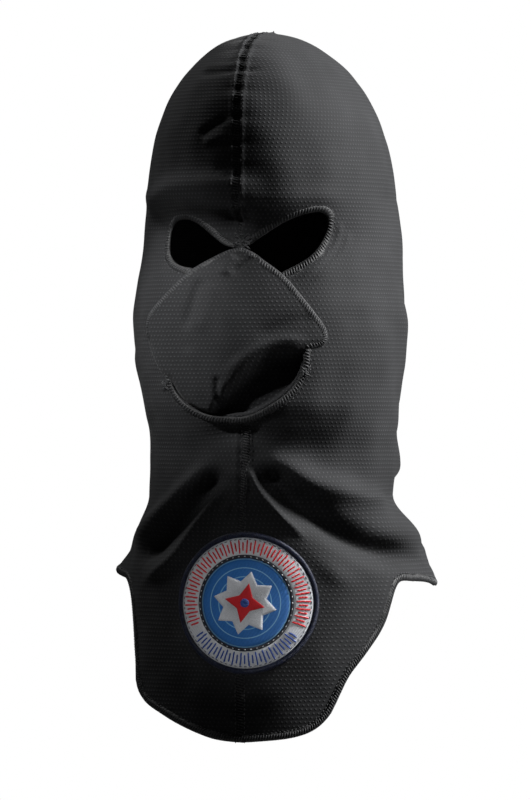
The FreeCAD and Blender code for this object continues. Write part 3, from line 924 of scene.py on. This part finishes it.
def radial_patch(name, inner, outer, low, high, crown=0.0, spokes=180, rings=8):
    """A closed raised shape between two radii. The outer one may change with the angle."""
    turn = np.linspace(0, math.tau, spokes, endpoint=False)
    edge = outer(turn) if callable(outer) else np.full(spokes, float(outer))
    share = np.linspace(0, 1, rings + 1)
    rise = high + crown * np.sqrt(2 * np.minimum(share, 1 - share))
    radius = inner + share[:, None] * (edge - inner)
    profile = list(zip(radius, rise)) + [(r, low) for r in radius[::-1]]
    points, cloth = [], []
    for r, h in profile:
        across, up = r * np.sin(turn), r * np.cos(turn)
        places, _ = badge_places(across, up, np.full(spokes, h))
        points.append(places)
        cloth.append(np.stack([across, up], axis=-1))
    points, cloth = np.array(points), np.array(cloth)
    number = np.arange(points.shape[0] * spokes).reshape(points.shape[0], spokes)
    ahead, back = number[:-1], number[1:]
    quads = np.stack(
        [ahead, back, np.roll(back, -1, axis=1), np.roll(ahead, -1, axis=1)], axis=-1).reshape(-1, 4)
    closing = np.stack([number[-1], number[0], np.roll(number[0], -1), np.roll(number[-1], -1)], axis=-1)
    quads = np.vstack([quads, closing])[:, ::-1]
    return make_mesh(name, points.reshape(-1, 3), quads, cloth.reshape(-1, 2))


def star_radius(points, outer, inner, lean):
    """The radius of a pointed star at each angle."""
    def radius(turn):
        share = ((turn - math.radians(lean)) * points / math.tau) % 1
        toward = np.abs(share - 0.5) * 2
        sharp = math.pi / points
        angle = (1 - toward) * sharp
        return outer * inner * math.sin(sharp) / (
            outer * np.sin(angle) + inner * np.sin(sharp - angle))
    return radius


TILT, STAR_SPOKES = 12, 320
BIG_STAR, NEEDLE_STAR = star_radius(8, 19, 13, TILT), star_radius(4, 12, 5.6, TILT)
badge_backing = radial_patch("badge_felt", 0.6, BADGE_RADIUS - 1, -0.2, 0.9, spokes=160, rings=8)
badge_ring = radial_patch("badge_outer_ring_satin", RING_IN, RING_OUT, 0.8, 1.2, 0.12)
badge_dark = radial_patch("badge_tick_ring_satin", TICK_IN, RING_IN, 0.8, 1.25, 0.2, rings=4)
badge_field = radial_patch("badge_field_satin", 0.4, TICK_IN, 0.8, 1.15, 0.05, rings=10)
badge_star = radial_patch("badge_star_satin", 0.3, BIG_STAR, 1.1, 1.4, 0.14, STAR_SPOKES)
badge_needle = radial_patch("badge_needle_satin", 0.3, NEEDLE_STAR, 1.4, 1.75, 0.14, STAR_SPOKES)
badge_hub = radial_patch("badge_hub_satin", 0.2, 2.6, 1.7, 2.05, 0.12, spokes=48, rings=5)


def badge_circle(radius, spacing=0.8):
    """A closed run of places and normals round the badge."""
    count = int(math.tau * radius / spacing)
    turn = np.linspace(0, math.tau, count + 1)
    return badge_places(radius * np.sin(turn), radius * np.cos(turn), np.full(count + 1, 0.5))


badge_border = overlock("badge_border_thread", *badge_circle(BADGE_RADIUS), width=BORDER_WIDTH, rise=1.2,
                        below=0.8, side=-1, pitch=0.8, seed=81, ends=False, thread=0.32)
stitch_places, stitch_normals = badge_circle(BADGE_RADIUS - BORDER_WIDTH - 0.6)
badge_stitches = stitch_run("badge_stitch_line", stitch_places, stitch_normals, length=2.1, gap=0.9,
                            thick=0.24, lift=0.9, seed=82)


RING_TICKS_AT = 33.4
LONG_REACH, SHORT_REACH = 2.3, 1.5


def ring_ticks(name, start, end, count, seed):
    """Short radial bars of thread on the white ring, evenly spaced between two angles."""
    draw = np.random.default_rng(seed)
    bars = []
    for number in range(count):
        turn = math.radians(start + (end - start) * number / (count - 1))
        reach = LONG_REACH if number % 2 else SHORT_REACH
        radii = RING_TICKS_AT + np.array([-reach, 0, reach])
        places, normals = badge_places(radii * math.sin(turn), radii * math.cos(turn), np.full(3, 1.35))
        bars.append(stitch_run(f"{name}_{number}", places, normals, length=2 * reach, gap=2 * reach,
                               thick=0.5, lift=0.0, seed=int(draw.integers(1000))))
    return merge(name, *bars)


red_ticks = ring_ticks("badge_ring_ticks_red", -112, 112, 58, 91)
blue_ticks = ring_ticks("badge_ring_ticks_blue", 124, 236, 29, 92)
tick_places, tick_normals = badge_circle((RING_IN + TICK_IN) / 2)
dark_ticks = stitch_run("badge_tick_ring_marks", tick_places, tick_normals, length=1.2, gap=2.4, thick=0.2,
                        lift=1.15, seed=93)

# ---------------------------------------------------------------- care label inside the nape

LABEL_WIDE, LABEL_TALL, LABEL_LEVEL = 32.0, 22.0, -160.0
LABEL_GRID, LABEL_STITCHES = 17, 40


def label_points(across, up, inward):
    """Places on the inside of the nape."""
    section = section_at(up)
    points = ring_points(section, math.pi - across / (section[..., 1] - 3))
    middle = np.stack([np.zeros_like(across), (section[..., 2] + section[..., 3]) / 2, up], axis=-1)
    return points + unit(middle - points) * inward[..., None]


label_share = np.linspace(0, 1, LABEL_GRID)
label_u, label_v = np.meshgrid((label_share - 0.5) * LABEL_WIDE, LABEL_LEVEL + label_share * LABEL_TALL)
curl = 3.4 + 1.6 * (1 - (label_v - LABEL_LEVEL) / LABEL_TALL) ** 2
label_grid = label_points(label_u, label_v, curl)
label_cells = grid_quads(LABEL_GRID, LABEL_GRID)
label_normals = grid_normals(label_grid)
care_label = thick_sheet("care_label_ribbon", label_grid.reshape(-1, 3), label_normals.reshape(-1, 3),
                         label_cells, np.stack([label_u, label_v], -1).reshape(-1, 2), 0.15, -0.15)
stitch_u = np.linspace(2 - LABEL_WIDE / 2, LABEL_WIDE / 2 - 2, LABEL_STITCHES)
stitch_v = np.full(LABEL_STITCHES, LABEL_LEVEL + LABEL_TALL - 2.5)
stitch_line = label_points(stitch_u, stitch_v, np.full(LABEL_STITCHES, 3.9))
label_in = unit(label_points(stitch_u, stitch_v, np.full(LABEL_STITCHES, 5.0)) - stitch_line)
label_stitch = stitch_run("care_label_stitch_line", stitch_line, label_in, length=1.8, gap=0.8, thick=0.3)

# ---------------------------------------------------------------- materials


class Surface:
    """A material under construction: a Principled shader and short calls that add nodes to it."""

    def __init__(self, name, **sockets):
        self.material = bpy.data.materials.new(name)
        self.material.use_nodes = True
        self.tree = self.material.node_tree
        self.shader = self.tree.nodes["Principled BSDF"]
        for socket, value in sockets.items():
            self.shader.inputs[socket.replace("_", " ")].default_value = value

    def node(self, kind, **settings):
        made = self.tree.nodes.new(kind)
        for key, value in settings.items():
            setattr(made, key, value)
        return made

    def link(self, start, end):
        self.tree.links.new(start, end)

    def math(self, operation, *values):
        """A maths node. Each value is a number or another node's output."""
        made = self.node("ShaderNodeMath", operation=operation)
        for socket, value in zip(made.inputs, values):
            if isinstance(value, (int, float)):
                socket.default_value = value
            else:
                self.link(value, socket)
        return made.outputs[0]

    def weighted(self, *terms):
        """The sum of values, each times its own factor."""
        total = 0.0
        for value, factor in terms:
            total = self.math("MULTIPLY_ADD", value, factor, total)
        return total

    def cloth(self):
        """The cloth coordinates, in millimetres, as two outputs."""
        where = self.node("ShaderNodeUVMap", uv_map="cloth")
        parts = self.node("ShaderNodeSeparateXYZ")
        self.link(where.outputs["UV"], parts.inputs[0])
        return parts.outputs["X"], parts.outputs["Y"]

    def noise(self, scale, detail=3.0, rough=0.55):
        """Noise fixed to the object, with the scale in features per metre."""
        where = self.node("ShaderNodeTexCoord")
        made = self.node("ShaderNodeTexNoise")
        made.inputs["Scale"].default_value = scale
        made.inputs["Detail"].default_value = detail
        made.inputs["Roughness"].default_value = rough
        self.link(where.outputs["Object"], made.inputs["Vector"])
        return made.outputs["Fac"]

    def ramp(self, value, stops):
        """Colours between stops of (place, colour)."""
        made = self.node("ShaderNodeValToRGB")
        elements = made.color_ramp.elements
        for number, (place, colour) in enumerate(stops):
            stop = elements[number] if number < 2 else elements.new(place)
            stop.position = place
            stop.color = (*colour, 1)
        self.link(value, made.inputs["Fac"])
        return made.outputs["Color"]

    def paint(self, value, stops):
        """The material's colour, from a value and stops of (place, colour)."""
        self.link(self.ramp(value, stops), self.shader.inputs["Base Color"])

    def bump(self, height, depth_mm):
        """The material's relief, with the full height depth_mm."""
        made = self.node("ShaderNodeBump")
        made.inputs["Strength"].default_value = 1.0
        made.inputs["Distance"].default_value = depth_mm * MM
        self.link(height, made.inputs["Height"])
        self.link(made.outputs["Normal"], self.shader.inputs["Normal"])

    def wave(self, value, pitch):
        """A cosine of 0 to 1 with the pitch in the value's own unit."""
        swing = self.math("COSINE", self.math("MULTIPLY", value, math.tau / pitch))
        return self.math("MULTIPLY_ADD", swing, 0.5, 0.5)


def scaled(colour, factor):
    """A colour made lighter or darker."""
    return tuple(min(1.0, part * factor) for part in colour)


def knit_surface(name, colour, row_pitch, stitch_pitch, depth_mm, sheen):
    """A fine knit: staggered rows of small loops, soft fuzz and slightly uneven dye. The colour is painted
    lighter on each loop as a painted highlight, and darker between the loops as painted shade.
    """
    surface = Surface(
        name, Roughness=0.82, Specular_IOR_Level=0.22, Sheen_Weight=sheen, Sheen_Roughness=0.42)
    across, down = surface.cloth()
    stitch = surface.math("COSINE", surface.math("MULTIPLY", across, math.tau / stitch_pitch))
    row = surface.math("COSINE", surface.math("MULTIPLY", down, math.tau / (2 * row_pitch)))
    lattice = surface.math("MAXIMUM", surface.math("MULTIPLY", stitch, row), 0.0)
    narrow = surface.math("POWER", surface.math("ABSOLUTE", row), 4.0)
    loops = surface.math("MULTIPLY", lattice, narrow)
    ribs = surface.wave(down, row_pitch)
    fuzz = surface.noise(2600, 4, 0.7)
    patch = surface.noise(38, 3, 0.5)
    # tone: lighter on the loops as a painted highlight and darker between them as painted shade; the patch
    # noise adds real uneven dye
    tone = surface.weighted((loops, 0.55), (patch, 0.45))
    surface.paint(tone, [(0.1, scaled(colour, 0.6)), (0.42, colour), (0.9, scaled(colour, 2.5))])
    surface.bump(surface.weighted((loops, 0.7), (ribs, 0.15), (fuzz, 0.35)), depth_mm)
    return surface.material


def thread_surface(name, colour, rough=0.6, sheen=0.04, gloss=0.35):
    """Spun thread: fine fibres, small changes of tone, and the core painted darker as painted shade under
    the wraps.

    Stitches and wraps have no cloth coordinates, so only the core has a place along the thread.
    """
    surface = Surface(
        name, Roughness=rough, Specular_IOR_Level=gloss, Sheen_Weight=sheen, Sheen_Roughness=0.4)
    fibre = surface.noise(3200, 5, 0.7)
    lumps = surface.noise(620, 2, 0.5)
    height = surface.weighted((fibre, 0.5), (lumps, 0.5))
    along, _ = surface.cloth()
    # the core, the only part with cloth coordinates, is painted darker: painted shade under and between the
    # wraps
    core = surface.math("MULTIPLY", surface.math("GREATER_THAN", along, 0.001), 0.4)
    tone = surface.math("SUBTRACT", height, core)
    surface.paint(tone, [(0.1, scaled(colour, 0.3)), (0.48, colour), (0.7, scaled(colour, 2.2))])
    surface.bump(height, 0.315)
    return surface.material


SATIN_PITCH, CIRCLE_PITCH = 0.72, 5.2


def satin_surface(name, colour, around=0.0, lean=0.35, circles=None):
    """Embroidery: close parallel threads, straight or running out from the badge's middle."""
    surface = Surface(name, Roughness=0.62, Specular_IOR_Level=0.28, Sheen_Weight=0.04, Sheen_Roughness=0.4)
    across, up = surface.cloth()
    if around:
        threads = surface.wave(surface.math("ARCTAN2", across, up), math.tau / around)
    else:
        threads = surface.wave(surface.math("MULTIPLY_ADD", across, lean, up), SATIN_PITCH)
    uneven = surface.noise(900, 3, 0.6)
    tone = surface.weighted((threads, 0.55), (uneven, 0.45))
    colours = surface.ramp(tone, [(0.15, scaled(colour, 0.5)), (0.5, colour), (0.95, scaled(colour, 1.25))])
    if circles is not None:
        squared = surface.math("MULTIPLY_ADD", across, across, surface.math("MULTIPLY", up, up))
        radius = surface.math("SQRT", squared)
        line = surface.math("GREATER_THAN", surface.wave(radius, CIRCLE_PITCH), 0.97)
        blend = surface.node("ShaderNodeMix", data_type="RGBA")
        surface.link(line, blend.inputs["Factor"])
        surface.link(colours, blend.inputs["A"])
        blend.inputs["B"].default_value = (*circles, 1)
        colours = blend.outputs["Result"]
    surface.link(colours, surface.shader.inputs["Base Color"])
    surface.bump(tone, 0.3)
    return surface.material


def felt_surface(name, colour):
    """Pressed felt: short tangled fibres and no direction."""
    surface = Surface(name, Roughness=0.9, Specular_IOR_Level=0.2, Sheen_Weight=0.25, Sheen_Roughness=0.5)
    fibre = surface.noise(1500, 6, 0.75)
    surface.paint(fibre, [(0.3, scaled(colour, 0.6)), (0.7, scaled(colour, 1.4))])
    surface.bump(fibre, 0.4)
    return surface.material


def ribbon_surface(name, colour):
    """A plain woven tape: fine crossing threads."""
    surface = Surface(name, Roughness=0.55, Specular_IOR_Level=0.35)
    across, up = surface.cloth()
    weave = surface.math("MULTIPLY", surface.wave(across, 0.5), surface.wave(up, 0.62))
    surface.paint(weave, [(0.0, scaled(colour, 0.75)), (1.0, colour)])
    surface.bump(weave, 0.12)
    return surface.material


BLACK = (0.021, 0.0215, 0.023)
NAVY = (0.006, 0.010, 0.032)
MATERIALS = {
    "knit": knit_surface("knit", BLACK, 2.5, 2.7, 0.3, 0.04),
    "lining": knit_surface("lining", scaled(BLACK, 1.25), 1.6, 1.5, 0.3, 0.04),
    "overlock_thread": thread_surface("overlock_thread", scaled(BLACK, 1.2), rough=0.55, gloss=0.4),
    "flatlock_thread": thread_surface("flatlock_thread", scaled(BLACK, 0.9), rough=0.55, gloss=0.4),
    "tack_thread": thread_surface("tack_thread", scaled(BLACK, 1.2), rough=0.55, gloss=0.4),
    "badge_felt": felt_surface("badge_felt", (0.02, 0.03, 0.07)),
    "badge_border_thread": thread_surface("badge_border_thread", NAVY, sheen=0.05, rough=0.45),
    "badge_white_thread": satin_surface("badge_white_thread", (0.66, 0.68, 0.72), around=300),
    "badge_dark_thread": satin_surface("badge_dark_thread", (0.02, 0.022, 0.03), around=240),
    "badge_blue_thread": satin_surface("badge_blue_thread", (0.02, 0.13, 0.40), circles=(0.16, 0.36, 0.56)),
    "badge_red_thread": satin_surface("badge_red_thread", (0.50, 0.012, 0.018), lean=-0.6),
    "badge_hub_thread": satin_surface("badge_hub_thread", (0.022, 0.060, 0.26), lean=1.4),
    "label_ribbon": ribbon_surface("label_ribbon", (0.62, 0.62, 0.60)),
}

# ---------------------------------------------------------------- what each piece is

PIECES = [
    (hood_left, "hood", "knit", ["hood_left_panel"]),
    (hood_right, "hood", "knit", ["hood_right_panel"]),
    (lining_left, "hood", "lining", ["hood_left_lining"]),
    (lining_right, "hood", "lining", ["hood_right_lining"]),
    (forehead_seam, "hood", "flatlock_thread", ["forehead_seam"]),
    (back_seam, "hood", "flatlock_thread", ["back_seam"]),
    (chin_seam, "hood", "flatlock_thread", ["chin_seam"]),
    (edge_left, "hood", "overlock_thread", ["eye_edge_left"]),
    (edge_right, "hood", "overlock_thread", ["eye_edge_right"]),
    (edge_mouth, "hood", "overlock_thread", ["mouth_edge"]),
    (bridge_tack, "hood", "tack_thread", ["bridge_tack"]),
    (mouth_tack_left, "hood", "tack_thread", ["mouth_tack_left"]),
    (mouth_tack_right, "hood", "tack_thread", ["mouth_tack_right"]),
    (bib_hem, "hood", "overlock_thread", ["bib_hem_edge"]),
    (neck_hem, "hood", "overlock_thread", ["neck_hem_edge"]),
    (badge_backing, "hood", "badge_felt", ["badge_backing"]),
    (badge_border, "hood", "badge_border_thread", ["badge_border"]),
    (badge_ring, "hood", "badge_white_thread", ["badge_outer_ring"]),
    (badge_dark, "hood", "badge_dark_thread", ["badge_tick_ring"]),
    (badge_field, "hood", "badge_blue_thread", ["badge_field"]),
    (badge_star, "hood", "badge_white_thread", ["badge_star"]),
    (badge_needle, "hood", "badge_red_thread", ["badge_needle"]),
    (badge_hub, "hood", "badge_hub_thread", ["badge_hub"]),
    (badge_stitches, "hood", "badge_border_thread", ["badge_stitches"]),
    (red_ticks, "hood", "badge_red_thread", []),
    (blue_ticks, "hood", "badge_hub_thread", []),
    (dark_ticks, "hood", "badge_white_thread", []),
    (care_label, "hood", "label_ribbon", ["care_label"]),
    (label_stitch, "hood", "overlock_thread", ["care_label_stitch"]),
    (flap_knit, "flap", "knit", ["flap_panel"]),
    (flap_lining, "flap", "lining", ["flap_lining"]),
    (flap_left, "flap", "overlock_thread", ["flap_edge_left"]),
    (flap_right, "flap", "overlock_thread", ["flap_edge_right"]),
    (flap_tail, "flap", "overlock_thread", ["flap_tail_edge"]),
]
for piece, body, slot, nodes in PIECES:
    piece.data.materials.clear()
    piece.data.materials.append(MATERIALS[slot])
    if nodes:
        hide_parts(*nodes)
    if body == "flap":
        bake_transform(piece)
    else:
        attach(piece, body)

# ---------------------------------------------------------------- camera, lights and floor

VIEW_BACK = Vector((0.225, -0.974, 0)).normalized()
TARGET = Vector((-2.3, -0.5, -93)) * MM
DISTANCE = 5.0
camera_data = bpy.data.cameras.new("camera")
camera_data.sensor_fit = "VERTICAL"
camera_data.sensor_height = 24
camera_data.lens = 250
camera = add_object("camera", camera_data)
camera.location = TARGET + VIEW_BACK * DISTANCE
camera.rotation_euler = (-VIEW_BACK).to_track_quat("-Z", "Y").to_euler()
bpy.context.scene.camera = camera
bpy.context.scene.view_settings.view_transform = "Standard"


def aimed(name, light, place, target):
    """A light at one place that looks at another."""
    made = add_object(name, light)
    made.location = place
    made.rotation_euler = (Vector(target) - Vector(place)).to_track_quat("-Z", "Y").to_euler()


def area_light(name, place, power, size):
    """A square soft light that looks at the object."""
    light = bpy.data.lights.new(name, "AREA")
    light.energy, light.size = power, size
    aimed(name, light, place, TARGET)


def spot_light(name, place, target, power, degrees, blend):
    """A narrow spot from one place to another, for one part of the object."""
    light = bpy.data.lights.new(name, "SPOT")
    light.energy, light.spot_blend, light.shadow_soft_size = power, blend, 0.025
    light.spot_size = math.radians(degrees)
    aimed(name, light, place, target)


area_light("key", (1.05, 0.13, 0.58), 46, 0.38)
area_light("rim", (-1.0, 0.20, 1.5), 16, 0.5)
spot_light("face", (-0.50, -0.72, 0.54), (-0.040, -0.078, -0.041), 66, 9, 1.0)
spot_light("badge", (0.12, -1.60, 0.05), (0.003, -0.077, -0.213), 34, 3.2, 0.3)

world = bpy.data.worlds.new("studio")
bpy.context.scene.world = world
world.use_nodes = True
nodes, links = world.node_tree.nodes, world.node_tree.links
room = nodes["Background"]
room.inputs["Strength"].default_value = 0.02
backdrop = nodes.new("ShaderNodeBackground")
backdrop.inputs["Color"].default_value = (1, 1, 1, 1)
backdrop.inputs["Strength"].default_value = 1.0
room.inputs["Color"].default_value = (1, 1, 1, 1)
rays, choice = nodes.new("ShaderNodeLightPath"), nodes.new("ShaderNodeMixShader")
links.new(rays.outputs["Is Camera Ray"], choice.inputs["Fac"])
links.new(room.outputs[0], choice.inputs[1])
links.new(backdrop.outputs[0], choice.inputs[2])
links.new(choice.outputs[0], nodes["World Output"].inputs["Surface"])

FLOOR_LEVEL, FLOOR_RADIUS = -0.75, 0.62
bpy.ops.mesh.primitive_circle_add(
    vertices=96, radius=FLOOR_RADIUS, fill_type="NGON", location=(0, 0, FLOOR_LEVEL))
floor = bpy.context.object
floor.name = "floor"
floor_surface = Surface("floor_matt", Roughness=0.85)
floor_surface.paint(floor_surface.noise(9, 2), [(0.3, (0.21, 0.21, 0.21)), (0.7, (0.23, 0.23, 0.23))])
floor.data.materials.append(floor_surface.material)
